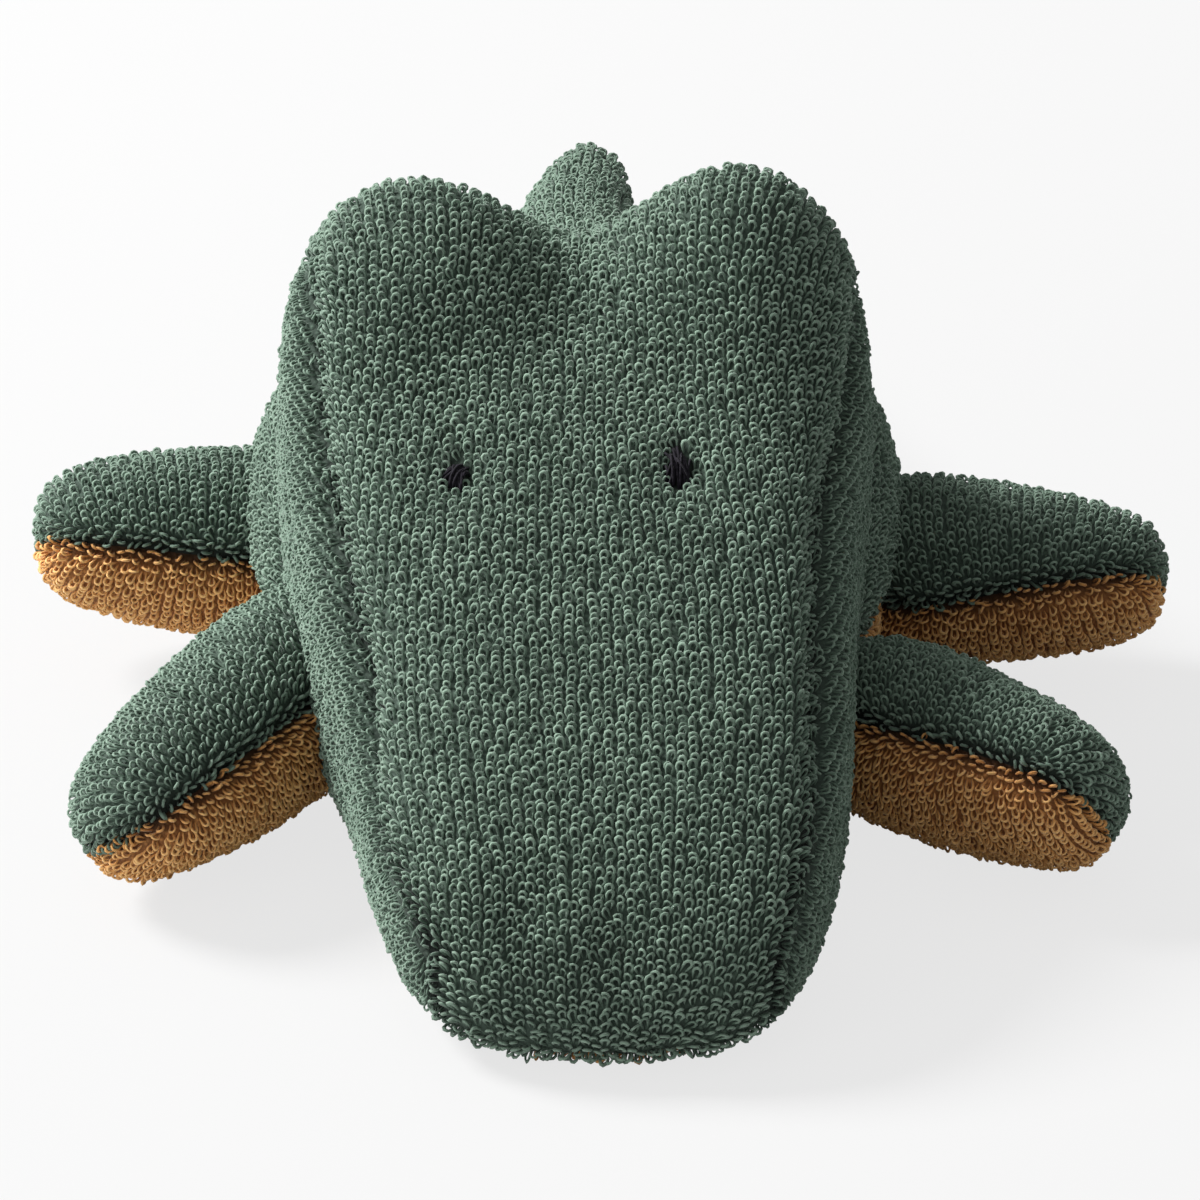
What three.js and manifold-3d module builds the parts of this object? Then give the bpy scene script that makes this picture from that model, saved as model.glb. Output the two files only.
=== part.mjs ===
// Plush crocodile lying on its belly: terry panels sewn into covers, stuffed with polyester fibre.
// Millimetres, +Z up. The nose points to -Y and the tail to +Y. The origin is on the floor, under
// the middle of the toy. Places along the toy are measured from the nose tip and shifted at the end.

import * as THREE from 'three';
import { mergeVertices } from 'three/addons/utils/BufferGeometryUtils.js';
import Module from 'manifold-3d';

const wasm = await Module();
wasm.setup();

// Fabric and sewing
const terryThickness = 3; // knit ground with its standing loops
const seamGap = 0.3; // clearance between pieces that touch
const stuffingGap = 0.5; // clearance between a cover and what fills it
const floorFlat = 0.5; // how far the weight flattens the underside
const cutOverrun = 5; // how far a cutting block runs past what it cuts

// Head: one long wedge from the nose up to the crest, with two brow bumps on the crest
const headLength = 120;
const headWidth = 76;
const headHeight = 70;
const bumpHeight = 11.5;
const bumpSpacing = 42; // between the tops of the two bumps
const bumpWidth = 50;
const bumpLength = 56;
const bumpPlace = 97; // nose tip to the tops of the bumps
const jawSeamHeight = 5;
const eyeSpacing = 28;
const eyeOffset = 3.4; // the pair sits this far left of the middle
const eyePlace = 63.5; // nose tip to the eyes
const eyeWidth = 3.4;
const eyeLength = 4.8;
const eyeRelief = 2.4; // thickness of the knot of thread
const eyeSink = 0.5; // how far the knot's middle lies below the pile's surface

// Body
const bodyStart = 57; // nose tip to the breast, hidden under the head
const bodyLength = 103;
const bodyWidth = 88;
const bodyHeight = 56;
const bodySeamHeight = 17;

// Tail
const tailStart = 138; // nose tip to the open end that is sewn over the rump
const tailLength = 98;
const tailWidth = 56;
const tailHeight = 42.5;
const tailSeamHeight = 14.5;

// Legs
const legWidth = 28;
const legThickness = 24;
const legBuried = 8; // how far a leg's form runs on inside the body's outline before it is cut
const neckClearance = 0.6; // between the head and the body it nods on
const cheekClearance = 2; // between a front leg and the side of the head
const frontHipPlace = 77;
const frontHipSpacing = 80;
const frontHipHeight = 15.5;
const frontLegReach = 48;
const rearHipPlace = 109;
const rearHipSpacing = 87;
const rearHipHeight = 17.5;
const rearLegReach = 33;

// Joints
const neckPivotPlace = 98;
const neckPivotHeight = 18;
const tailPivotPlace = 137;

// Angles, in degrees
const frontSweepAngle = 60; // how far the leg is swept forward from straight out
const frontDroopAngle = 5;
const frontSeamAngle = 18; // the shoulder seam runs outward towards the tail
const rearSweepAngle = 6;
const rearDroopAngle = -2;
const rearSeamAngle = 0;
const frontSoleAngle = 35; // the soles are sewn on turned towards the front
const rearSoleAngle = 30;
const legUpAngle = 18;
const legDownAngle = 10;
const headUpAngle = 10;
const headDownAngle = 5;
const tailSwingAngle = 12;

// Outlines, as shares of each form's length, half width and height:
// [place along, half width, underside, widest point, top, and on the head how square the section is]
const headShares = [
  [0, 0, 0.125, 0.125, 0.125, 1],
  [0.0083, 0.29, 0.08, 0.128, 0.172, 0.72],
  [0.025, 0.45, 0.05, 0.132, 0.221, 0.72],
  [0.054, 0.57, 0.03, 0.143, 0.286, 0.74],
  [0.1, 0.65, 0.012, 0.164, 0.357, 0.77],
  [0.167, 0.74, 0, 0.2, 0.433, 0.8],
  [0.258, 0.825, 0, 0.243, 0.514, 0.83],
  [0.375, 0.895, 0, 0.293, 0.616, 0.86],
  [0.5, 0.935, 0, 0.35, 0.73, 0.9],
  [0.625, 0.965, 0.03, 0.436, 0.833, 0.94],
  [0.708, 0.985, 0.1, 0.51, 0.885, 0.98],
  [0.758, 1, 0.18, 0.545, 0.92, 1],
  [0.808, 1, 0.26, 0.57, 0.943, 1],
  [0.858, 0.985, 0.32, 0.583, 0.94, 0.98],
  [0.908, 0.95, 0.37, 0.588, 0.905, 0.93],
  [0.958, 0.82, 0.41, 0.588, 0.83, 0.84],
  [1, 0.5, 0.47, 0.58, 0.7, 0.75],
];
const bodyShares = [
  [0, 0, 0.29, 0.29, 0.29],
  [0.015, 0.34, 0.13, 0.29, 0.42],
  [0.049, 0.53, 0, 0.3, 0.55],
  [0.107, 0.7, 0, 0.32, 0.67],
  [0.184, 0.84, 0, 0.34, 0.78],
  [0.282, 0.93, 0, 0.36, 0.875],
  [0.398, 0.985, 0, 0.385, 0.96],
  [0.515, 1, 0, 0.39, 1],
  [0.631, 0.95, 0, 0.375, 0.93],
  [0.748, 0.83, 0, 0.34, 0.825],
  [0.854, 0.655, 0, 0.31, 0.71],
  [0.932, 0.45, 0.05, 0.3, 0.595],
  [0.981, 0.235, 0.15, 0.3, 0.46],
  [1, 0, 0.3, 0.3, 0.3],
];
const tailShares = [
  [0, 1, 0, 0.39, 0.99],
  [0.14, 0.86, 0, 0.365, 0.9],
  [0.26, 0.7, 0.012, 0.353, 0.815],
  [0.4, 0.54, 0.047, 0.341, 0.73],
  [0.545, 0.43, 0.082, 0.341, 0.666],
  [0.69, 0.35, 0.125, 0.341, 0.619],
  [0.815, 0.3, 0.16, 0.346, 0.576],
  [0.907, 0.236, 0.2, 0.353, 0.529],
  [0.97, 0.143, 0.259, 0.365, 0.471],
  [1, 0, 0.365, 0.365, 0.365],
];
// A leg, from its hip to its tip: [place along, half width, half thickness]
const legShares = [
  [0, 1, 1],
  [0.26, 0.95, 0.97],
  [0.48, 0.85, 0.89],
  [0.68, 0.72, 0.77],
  [0.84, 0.58, 0.62],
  [0.94, 0.4, 0.43],
  [1, 0, 0],
];
const legRootShare = 0.93; // how much slimmer a leg is at its buried end

// The top panel, between its two long seams: [place along, its half width as a share of the head's]
const topPanelShares = [
  [0, 0.55],
  [0.08, 0.58],
  [0.18, 0.71],
  [0.4, 0.8],
  [0.6, 0.83],
  [0.76, 0.89],
  [1, 0.92],
];

// How square the cross-sections are: 2 is an ellipse, higher is boxier
const headSquareness = 4.5;
const bodySquareness = 2.5;
const tailSquareness = 2.2;
const legSquareness = 2.2;

// Faces round a cross-section of a cover, and of the stuffing that fills it
const headSides = 28;
const bodySides = 18;
const tailSides = 14;
const legSides = 12;
const stuffingSides = 12; // a multiple of 4, so that one edge follows the dip between the bumps
const legStuffingSides = 8;
const eyeSides = 8;

const green = { color: 0x4e6357, roughness: 0.95, metalness: 0 };
const ochre = { color: 0x8a6238, roughness: 0.95, metalness: 0 };
const black = { color: 0x1b1a1e, roughness: 0.85, metalness: 0 };
const fibre = { color: 0xe9e7e1, roughness: 1, metalness: 0 };

// Solids

function solidOf(geometry) {
  const bare = geometry.clone();
  bare.deleteAttribute('normal');
  bare.deleteAttribute('uv');
  const merged = mergeVertices(bare);
  return new wasm.Manifold(new wasm.Mesh({
    numProp: 3,
    vertProperties: merged.attributes.position.array,
    triVerts: new Uint32Array(merged.index.array),
  }));
}

function geometryOf(solid) {
  const mesh = solid.getMesh();
  const geometry = new THREE.BufferGeometry();
  geometry.setAttribute('position', new THREE.BufferAttribute(mesh.vertProperties, 3));
  geometry.setIndex(new THREE.BufferAttribute(mesh.triVerts, 1));
  return geometry;
}

function block(low, high) {
  const size = new THREE.Vector3().subVectors(high, low);
  const centre = new THREE.Vector3().addVectors(low, high).multiplyScalar(0.5);
  return new THREE.BoxGeometry(size.x, size.y, size.z).translate(centre.x, centre.y, centre.z);
}

// A unit superellipse, so that its points can be spaced evenly
class Superellipse extends THREE.Curve {
  constructor(squareness) {
    super();
    this.power = 2 / squareness;
  }

  getPoint(t, target = new THREE.Vector2()) {
    const across = Math.cos(2 * Math.PI * t);
    const up = Math.sin(2 * Math.PI * t);
    const reach = (value) => Math.sign(value) * Math.abs(value) ** this.power;
    return target.set(reach(across), reach(up));
  }
}

// Skins a row of cross-sections along Y, whose upper and lower halves differ in height.
// A section with no width is the form's pointed end, and an end section with width is closed flat.
function loft(sections, sides) {
  const points = [];
  const rings = [];
  for (const { y, halfWidth, low, wide, high, squareness, lift = () => 0 } of sections) {
    if (halfWidth === 0) {
      rings.push([points.length / 3]);
      points.push(0, y, wide);
      continue;
    }
    const ring = [];
    for (const { x: across, y: up } of new Superellipse(squareness).getSpacedPoints(sides).slice(1)) {
      const rise = up > 0 ? (high - wide) * up + lift(across) : (wide - low) * up;
      ring.push(points.length / 3);
      points.push(halfWidth * across, y, wide + rise);
    }
    rings.push(ring);
  }
  const last = sections.length - 1;
  for (const end of [0, last]) {
    if (rings[end].length > 1) {
      const { y, low, high } = sections[end];
      const cap = [points.length / 3];
      points.push(0, y, (low + high) / 2);
      if (end === 0) rings.unshift(cap);
      else rings.push(cap);
    }
  }
  const faces = [];
  for (let i = 0; i + 1 < rings.length; i += 1) {
    const near = rings[i];
    const far = rings[i + 1];
    for (let k = 0; k < sides; k += 1) {
      const next = (k + 1) % sides;
      if (near.length > 1) faces.push(near[k], far[k % far.length], near[next]);
      if (far.length > 1) faces.push(near[next % near.length], far[k], far[next]);
    }
  }
  const geometry = new THREE.BufferGeometry();
  geometry.setAttribute('position', new THREE.Float32BufferAttribute(points, 3));
  geometry.setIndex(faces);
  return geometry;
}

// A half width or half height less the wall, which thins a little where the form runs out to a tip.
// A negative wall grows it by a clearance instead.
const thinned = (half, wall) => (half > 0 ? half ** 2 / (half + wall) : 0);

// A form's outline, thinned all round by a wall
function sectionsOf(shares, squareness, start, length, width, height, wall) {
  return shares.map(([along, across, low, wide, high, squareShare = 1]) => {
    const middle = height * wide - floorFlat;
    return {
      y: start + wall + (length - 2 * wall) * along,
      halfWidth: thinned((width / 2) * across, wall),
      low: middle - thinned(height * (wide - low), wall),
      wide: middle,
      high: middle + thinned(height * (high - wide), wall),
      squareness: squareness * squareShare,
    };
  });
}

// The stuffing, and the hollow that holds it, need only every other section
const everyOther = (sections) => sections.filter((_, i) => i % 2 === 0 || i === sections.length - 1);

// The brow bumps: two soft lobes that lift the crown
function browLift(x, y) {
  const across = (Math.abs(x) - bumpSpacing / 2) / (bumpWidth / 2);
  const along = (y - bumpPlace) / (bumpLength / 2);
  const reach = Math.min(1, Math.hypot(across, along));
  return bumpHeight * Math.cos((reach * Math.PI) / 2) ** 2;
}

function headForm(wall) {
  const plain = sectionsOf(headShares, headSquareness, 0, headLength, headWidth, headHeight, wall);
  const sections = plain.map((section, i) => {
    const [along, halfShare] = headShares[i];
    const lift = (across) => browLift((headWidth / 2) * halfShare * across, headLength * along);
    return { ...section, lift: (across) => thinned(lift(across), wall) };
  });
  return wall > 0 ? loft(everyOther(sections), stuffingSides) : loft(sections, headSides);
}

function bodyForm(wall) {
  const sections = sectionsOf(
    bodyShares, bodySquareness, bodyStart, bodyLength, bodyWidth, bodyHeight, wall,
  );
  return wall > 0 ? loft(everyOther(sections), stuffingSides) : loft(sections, bodySides);
}

function tailForm(wall) {
  const sections = sectionsOf(
    tailShares, tailSquareness, tailStart, tailLength, tailWidth, tailHeight, wall,
  );
  return wall > 0 ? loft(everyOther(sections), stuffingSides) : loft(sections, tailSides);
}

// A leg lies along +X from its hip, which is at the origin, and starts inside the body
function legForm(reach, wall, buried) {
  const root = [-buried / (reach - wall), legRootShare, legRootShare];
  const sections = [root, ...legShares].map(([along, across, thick]) => {
    const halfWidth = thinned((legWidth / 2) * across, wall);
    const half = thinned((legThickness / 2) * thick, wall);
    const y = (reach - wall) * along;
    return { y, halfWidth, low: -half, wide: 0, high: half, squareness: legSquareness };
  });
  const form = wall > 0 ? loft(everyOther(sections), legStuffingSides) : loft(sections, legSides);
  return form.rotateZ(-Math.PI / 2);
}

// Everything of a form that lies above the floor
const roomLow = new THREE.Vector3(-bodyWidth, -cutOverrun, 0);
const roomTop = headHeight + bumpHeight + cutOverrun;
const roomHigh = new THREE.Vector3(bodyWidth, tailStart + tailLength + cutOverrun, roomTop);
const aboveFloor = solidOf(block(roomLow, roomHigh));

// The slice of the room from one height to another
function layer(from, to) {
  const low = roomLow.clone().setZ(from);
  const high = roomHigh.clone().setZ(to);
  return solidOf(block(low, high));
}

// The half of the room on one side of the middle
function flank(side) {
  const low = roomLow.clone().setX(side > 0 ? 0 : roomLow.x);
  const high = roomHigh.clone().setX(side > 0 ? roomHigh.x : 0);
  return solidOf(block(low, high));
}

// A terry cover: the form's outer surface with its fabric, hollow inside
const coverOf = (form) => solidOf(form(0)).subtract(solidOf(form(terryThickness))).intersect(aboveFloor);
const fillOf = (form) => solidOf(form(terryThickness + stuffingGap)).intersect(aboveFloor);

// A form turned about an axis through a pivot
function turned(form, pivot, axis, degrees) {
  const turn = new THREE.Matrix4().makeTranslation(pivot.x, pivot.y, pivot.z)
    .multiply(new THREE.Matrix4().makeRotationAxis(axis, THREE.MathUtils.degToRad(degrees)))
    .multiply(new THREE.Matrix4().makeTranslation(-pivot.x, -pivot.y, -pivot.z));
  return form.clone().applyMatrix4(turn);
}

// Trims a piece so that it stays clear of its neighbours while it turns about its seam
function clearOf(solid, neighbours, pivot, axis, turns) {
  let left = solid;
  for (const neighbour of neighbours) {
    for (const turn of turns) left = left.subtract(solidOf(turned(neighbour, pivot, axis, -turn)));
  }
  return left;
}

// Body

const body = new THREE.Group();
const bodyCover = coverOf(bodyForm);
const bodyGrown = bodyForm(-seamGap);

function addPiece(group, name, solid, finish) {
  const geometry = geometryOf(solid);
  group.updateWorldMatrix(true, false);
  geometry.applyMatrix4(group.matrixWorld.clone().invert());
  const mesh = new THREE.Mesh(geometry, new THREE.MeshStandardMaterial(finish));
  mesh.name = name;
  group.add(mesh);
}

addPiece(body, 'back_panel', bodyCover.intersect(layer(bodySeamHeight + seamGap / 2, roomTop)), green);
addPiece(body, 'belly_panel', bodyCover.intersect(layer(0, bodySeamHeight - seamGap / 2)), ochre);
addPiece(body, 'body_stuffing', fillOf(bodyForm), fibre);

// Head

const sideways = new THREE.Vector3(1, 0, 0);
const upright = new THREE.Vector3(0, 0, 1);
const neckPivot = new THREE.Vector3(0, neckPivotPlace, neckPivotHeight);
const neckTurns = [-headUpAngle, 0, headDownAngle];
const onNeck = (solid) => clearOf(solid, [bodyForm(-neckClearance)], neckPivot, sideways, neckTurns);

// An upright prism over the top panel, whose two long edges are the seams along the head
function topPanelPrism(clearance) {
  const edge = topPanelShares.map(([along, across]) => new THREE.Vector2(
    (headWidth / 2) * across + clearance,
    headLength * along,
  ));
  const right = [
    new THREE.Vector2(edge[0].x, -cutOverrun),
    ...new THREE.SplineCurve(edge).getPoints(edge.length),
    new THREE.Vector2(edge[edge.length - 1].x, headLength + cutOverrun),
  ];
  const left = right.map((point) => new THREE.Vector2(-point.x, point.y)).reverse();
  const outline = new THREE.Shape([...right, ...left]);
  return solidOf(new THREE.ExtrudeGeometry(outline, { depth: roomTop, bevelEnabled: false }));
}

// Height of the head's outer surface
function crownHeight(x, y) {
  const sections = sectionsOf(headShares, headSquareness, 0, headLength, headWidth, headHeight, 0);
  const i = sections.findIndex((section) => section.y > y);
  const share = (y - sections[i - 1].y) / (sections[i].y - sections[i - 1].y);
  const between = (name) => THREE.MathUtils.lerp(sections[i - 1][name], sections[i][name], share);
  const squareness = between('squareness');
  const arch = (1 - (Math.abs(x) / between('halfWidth')) ** squareness) ** (1 / squareness);
  return between('wide') + (between('high') - between('wide')) * arch + browLift(x, y);
}

// An eye is a flat knot of satin stitches, sunk in the pile. The clearance grows it into its pocket.
function eyeForm(side, clearance) {
  const x = (side * eyeSpacing) / 2 - eyeOffset;
  const slope = Math.atan2(crownHeight(x, eyePlace + eyeLength) - crownHeight(x, eyePlace), eyeLength);
  return new THREE.SphereGeometry(1, eyeSides, eyeSides / 2)
    .scale(eyeWidth / 2 + clearance, eyeLength / 2 + clearance, eyeRelief / 2 + clearance)
    .translate(0, 0, -eyeSink)
    .rotateX(slope)
    .translate(x, eyePlace, crownHeight(x, eyePlace));
}

const head = new THREE.Group();
const headCover = coverOf(headForm);
const aboveJawSeam = layer(jawSeamHeight + seamGap / 2, roomTop);
const upperHead = onNeck(headCover.intersect(aboveJawSeam));
const eyePockets = solidOf(eyeForm(1, seamGap)).add(solidOf(eyeForm(-1, seamGap)));
const besideTop = upperHead.subtract(topPanelPrism(seamGap / 2));

const topPanel = upperHead.intersect(topPanelPrism(-seamGap / 2)).subtract(eyePockets);
addPiece(head, 'head_top_panel', topPanel, green);
addPiece(head, 'head_side_right', besideTop.intersect(flank(1)), green);
addPiece(head, 'head_side_left', besideTop.intersect(flank(-1)), green);
addPiece(head, 'jaw_panel', onNeck(headCover.intersect(layer(0, jawSeamHeight - seamGap / 2))), ochre);
addPiece(head, 'head_stuffing', onNeck(fillOf(headForm)).subtract(eyePockets), fibre);
addPiece(head, 'eye_right', solidOf(eyeForm(1, 0)), black);
addPiece(head, 'eye_left', solidOf(eyeForm(-1, 0)), black);

// Tail

const tail = new THREE.Group();
tail.position.y = tailPivotPlace;
const tailPivot = new THREE.Vector3(0, tailPivotPlace, 0);
const tailTurns = [-tailSwingAngle, 0, tailSwingAngle];
const onRump = (solid) => clearOf(solid, [bodyGrown], tailPivot, upright, tailTurns);
const tailCover = onRump(coverOf(tailForm));

addPiece(tail, 'tail_upper_panel', tailCover.intersect(layer(tailSeamHeight + seamGap / 2, roomTop)), green);
addPiece(tail, 'tail_under_panel', tailCover.intersect(layer(0, tailSeamHeight - seamGap / 2)), ochre);
addPiece(tail, 'tail_stuffing', onRump(fillOf(tailForm)), fibre);

// Legs

const frontLeg = {
  place: frontHipPlace,
  spacing: frontHipSpacing,
  height: frontHipHeight,
  reach: frontLegReach,
  forward: frontSweepAngle,
  droop: frontDroopAngle,
  seamTurn: frontSeamAngle,
  soleTurn: frontSoleAngle,
};
const rearLeg = {
  place: rearHipPlace,
  spacing: rearHipSpacing,
  height: rearHipHeight,
  reach: rearLegReach,
  forward: rearSweepAngle,
  droop: rearDroopAngle,
  seamTurn: rearSeamAngle,
  soleTurn: rearSoleAngle,
};

// Half of a leg's own room, above or below the seam round the leg
function legHalf(leg, side, above) {
  const far = leg.reach + legBuried + cutOverrun;
  const wide = legWidth + cutOverrun;
  const low = new THREE.Vector3(-far, -wide, above > 0 ? seamGap / 2 : -wide);
  const high = new THREE.Vector3(far, wide, above > 0 ? wide : -seamGap / 2);
  return block(low, high).rotateX(THREE.MathUtils.degToRad(-side * leg.soleTurn));
}

// The leg's frame stands at the hip, with +X running out along the leg
function makeLeg(name, leg, side) {
  const group = new THREE.Group();
  const forward = THREE.MathUtils.degToRad(leg.forward);
  group.rotation.order = 'ZYX';
  group.rotation.z = side > 0 ? -forward : Math.PI + forward;
  group.rotation.y = THREE.MathUtils.degToRad(leg.droop);
  group.position.set((side * leg.spacing) / 2, leg.place, leg.height);
  group.updateMatrixWorld();

  const seamTurn = THREE.MathUtils.degToRad(side * leg.seamTurn);
  const seamLine = new THREE.Vector3(0, -side, 0).applyAxisAngle(upright, -seamTurn);
  const turns = [-legDownAngle, 0, legUpAngle];
  const placed = (geometry) => solidOf(geometry.applyMatrix4(group.matrixWorld));
  const atHip = (solid) => clearOf(solid, hipNeighbours, group.position, seamLine, turns);
  const outside = placed(legForm(leg.reach, 0, legBuried));
  const hollow = placed(legForm(leg.reach, terryThickness, legBuried + cutOverrun));
  const fill = placed(legForm(leg.reach, terryThickness + stuffingGap, legBuried - seamGap));
  const cover = atHip(outside.subtract(hollow));

  addPiece(group, `${name}_upper`, cover.intersect(placed(legHalf(leg, side, 1))), green);
  addPiece(group, `${name}_sole`, cover.intersect(placed(legHalf(leg, side, -1))), ochre);
  addPiece(group, `${name}_stuffing`, atHip(fill), fibre);
  return group;
}

const legs = [];
const hipNeighbours = [bodyGrown, headForm(-cheekClearance)];
for (const [sideName, side] of [['right', 1], ['left', -1]]) {
  legs.push(makeLeg(`leg_front_${sideName}`, frontLeg, side));
  legs.push(makeLeg(`leg_rear_${sideName}`, rearLeg, side));
}

const crocodile = new THREE.Group();
crocodile.add(body, head, tail, ...legs);
crocodile.position.y = -(tailStart + tailLength) / 2;

export default crocodile;
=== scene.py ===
import math
from random import Random

import bmesh
import bpy
import numpy as np
from mathutils import Euler, Matrix, Vector, geometry, noise
from mathutils.bvhtree import BVHTree
from mathutils.kdtree import KDTree


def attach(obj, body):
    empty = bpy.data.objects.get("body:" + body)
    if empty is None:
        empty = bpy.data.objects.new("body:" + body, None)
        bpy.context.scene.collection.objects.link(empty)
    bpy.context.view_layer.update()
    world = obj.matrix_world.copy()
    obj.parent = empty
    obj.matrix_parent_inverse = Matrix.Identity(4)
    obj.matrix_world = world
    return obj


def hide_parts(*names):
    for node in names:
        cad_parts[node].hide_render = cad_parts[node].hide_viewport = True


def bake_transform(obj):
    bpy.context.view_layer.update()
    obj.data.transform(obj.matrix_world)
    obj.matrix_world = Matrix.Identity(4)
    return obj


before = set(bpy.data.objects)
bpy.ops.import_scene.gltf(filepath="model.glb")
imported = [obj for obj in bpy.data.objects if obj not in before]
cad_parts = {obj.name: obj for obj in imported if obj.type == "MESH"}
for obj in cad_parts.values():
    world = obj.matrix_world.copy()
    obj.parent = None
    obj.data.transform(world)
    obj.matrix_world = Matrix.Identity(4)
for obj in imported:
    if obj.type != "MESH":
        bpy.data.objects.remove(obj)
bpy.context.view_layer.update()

# A small plush crocodile of looped terry. Lengths in the dictionaries are millimetres, apart from the
# camera's near and far, the bump heights, the floor and the lights, which are metres.
scene = bpy.context.scene
mm = 0.001
noseY = -118  # places along the toy are measured from the nose tip, which is here


def smooth(value, low, high):
    share = min(1, max(0, (value - low) / (high - low)))
    return share * share * (3 - 2 * share)


# Camera, at the photograph's angle

cameraSettings = {
    "lookAt": (0, -48.9, 30), "distance": 950, "elevation": 28, "lens": 224.5, "sensor": 36,
    "shift": 0.0025, "near": 0.05, "far": 20,
}


def addCamera(settings):
    data = bpy.data.cameras.new("camera")
    data.lens = settings["lens"]
    data.sensor_width = settings["sensor"]
    data.shift_x = settings["shift"]
    data.clip_start, data.clip_end = settings["near"], settings["far"]
    camera = bpy.data.objects.new("camera", data)
    tilt = math.radians(settings["elevation"])
    back = Vector((0, -math.cos(tilt), math.sin(tilt)))
    camera.location = (Vector(settings["lookAt"]) + back * settings["distance"]) * mm
    camera.rotation_euler = (-back).to_track_quat("-Z", "Y").to_euler()
    scene.collection.objects.link(camera)
    scene.camera = camera


addCamera(cameraSettings)
print("camera placed")


# Materials

def newMaterial(name, **sockets):
    material = bpy.data.materials.new(name)
    material.use_nodes = True
    shader = material.node_tree.nodes["Principled BSDF"]
    for socket, value in sockets.items():
        shader.inputs[socket.replace("_", " ")].default_value = value
    return material, material.node_tree, shader


def colourRamp(tree, factor, stops):
    stops = list(stops)
    ramp = tree.nodes.new("ShaderNodeValToRGB")
    while len(ramp.color_ramp.elements) < len(stops):
        ramp.color_ramp.elements.new(0.5)
    for element, (place, colour) in zip(ramp.color_ramp.elements, stops):
        element.position = place
        element.color = (*colour, 1)
    tree.links.new(factor, ramp.inputs["Fac"])
    return ramp.outputs["Color"]


def multiplyAdd(tree, value, factor, rest):
    # value times factor, plus rest
    add = tree.nodes.new("ShaderNodeMath")
    add.operation = "MULTIPLY_ADD"
    add.inputs[1].default_value = factor
    tree.links.new(value, add.inputs[0])
    tree.links.new(rest, add.inputs[2])
    return add.outputs[0]


def attributeOf(tree, name):
    read = tree.nodes.new("ShaderNodeAttribute")
    read.attribute_name = name
    return read.outputs["Fac"]


def addBump(tree, shader, height, strength, distance):
    bump = tree.nodes.new("ShaderNodeBump")
    bump.inputs["Strength"].default_value = strength
    bump.inputs["Distance"].default_value = distance
    tree.links.new(height, bump.inputs["Height"])
    tree.links.new(bump.outputs["Normal"], shader.inputs["Normal"])
    return bump


def fineNoise(tree, scale, detail):
    place = tree.nodes.new("ShaderNodeTexCoord")
    fibres = tree.nodes.new("ShaderNodeTexNoise")
    fibres.inputs["Scale"].default_value = scale
    fibres.inputs["Detail"].default_value = detail
    tree.links.new(place.outputs["Object"], fibres.inputs["Vector"])
    return fibres.outputs["Fac"]


# rise is how much the height on the loop adds to its shade, a painted shade at its foot; fibres is how much
# its fibres add
yarnLook = {
    "rise": 0.333, "fibres": 0.6, "fibreScale": 7000, "stops": (0.3, 0.61, 1),
    "bump": 0.5, "bumpHeight": 0.00006,
}
knitLook = {"scale": 1.15, "stops": (0.12, 0.5), "paintedSeamShade": 0.15, "bump": 0.8, "bumpHeight": 0.0004}


def yarnMaterial(name, deep, middle, light):
    # Loops are painted darker at the foot, as painted shade where the pile crowds round them, lighter at the
    # bend, and no two have quite the same shade
    material, tree, shader = newMaterial(
        name, Roughness=0.85, Sheen_Weight=0.22, Sheen_Roughness=0.5, Specular_IOR_Level=0.25,
    )
    fibres = fineNoise(tree, scale=yarnLook["fibreScale"], detail=3)
    shade = multiplyAdd(tree, attributeOf(tree, "rise"), yarnLook["rise"], attributeOf(tree, "shade"))
    shade = multiplyAdd(tree, fibres, yarnLook["fibres"], shade)
    colour = colourRamp(tree, shade, zip(yarnLook["stops"], (deep, middle, light)))
    tree.links.new(colour, shader.inputs["Base Color"])
    addBump(tree, shader, fibres, yarnLook["bump"], yarnLook["bumpHeight"])
    return material


def groundMaterial(name, dark, light):
    # The knit between the loops: bent yarns a stitch apart, with deep shade round each
    material, tree, shader = newMaterial(name, Roughness=0.95)
    uv = tree.nodes.new("ShaderNodeUVMap")
    uv.uv_map = "cloth"
    knit = tree.nodes.new("ShaderNodeTexVoronoi")
    knit.inputs["Scale"].default_value = knitLook["scale"]
    tree.links.new(uv.outputs["UV"], knit.inputs["Vector"])
    colour = colourRamp(tree, knit.outputs["Distance"], zip(knitLook["stops"], (light, dark)))
    # the drawnIn attribute paints the ground darker: painted shadow beside seams and round the eyes
    shadow = tree.nodes.new("ShaderNodeMix")
    shadow.data_type = "RGBA"
    shadow.inputs["B"].default_value = (*(knitLook["paintedSeamShade"] * part for part in dark), 1)
    tree.links.new(attributeOf(tree, "drawnIn"), shadow.inputs["Factor"])
    tree.links.new(colour, shadow.inputs["A"])
    tree.links.new(shadow.outputs["Result"], shader.inputs["Base Color"])
    bump = addBump(tree, shader, knit.outputs["Distance"], knitLook["bump"], knitLook["bumpHeight"])
    bump.invert = True
    return material


greenYarn = yarnMaterial("greenYarn", (0.054, 0.084, 0.063), (0.113, 0.175, 0.13), (0.244, 0.346, 0.268))
ochreYarn = yarnMaterial("ochreYarn", (0.27, 0.105, 0.028), (0.66, 0.31, 0.09), (0.95, 0.57, 0.22))
greenGround = groundMaterial("greenGround", (0.044, 0.069, 0.052), (0.1, 0.155, 0.115))
ochreGround = groundMaterial("ochreGround", (0.25, 0.1, 0.028), (0.5, 0.23, 0.07))
print("materials made")


# Stuffed forms: rings of a superellipse, extruded one from the next

def sectionPoint(section, angle):
    across, up = math.cos(angle), math.sin(angle)
    power = 2 / section["square"]
    reach = section["high"] - section["wide"] if up > 0 else section["wide"] - section["low"]
    x = section["half"] * math.copysign(abs(across) ** power, across)
    return x, section["wide"] + reach * math.copysign(abs(up) ** power, up)


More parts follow.
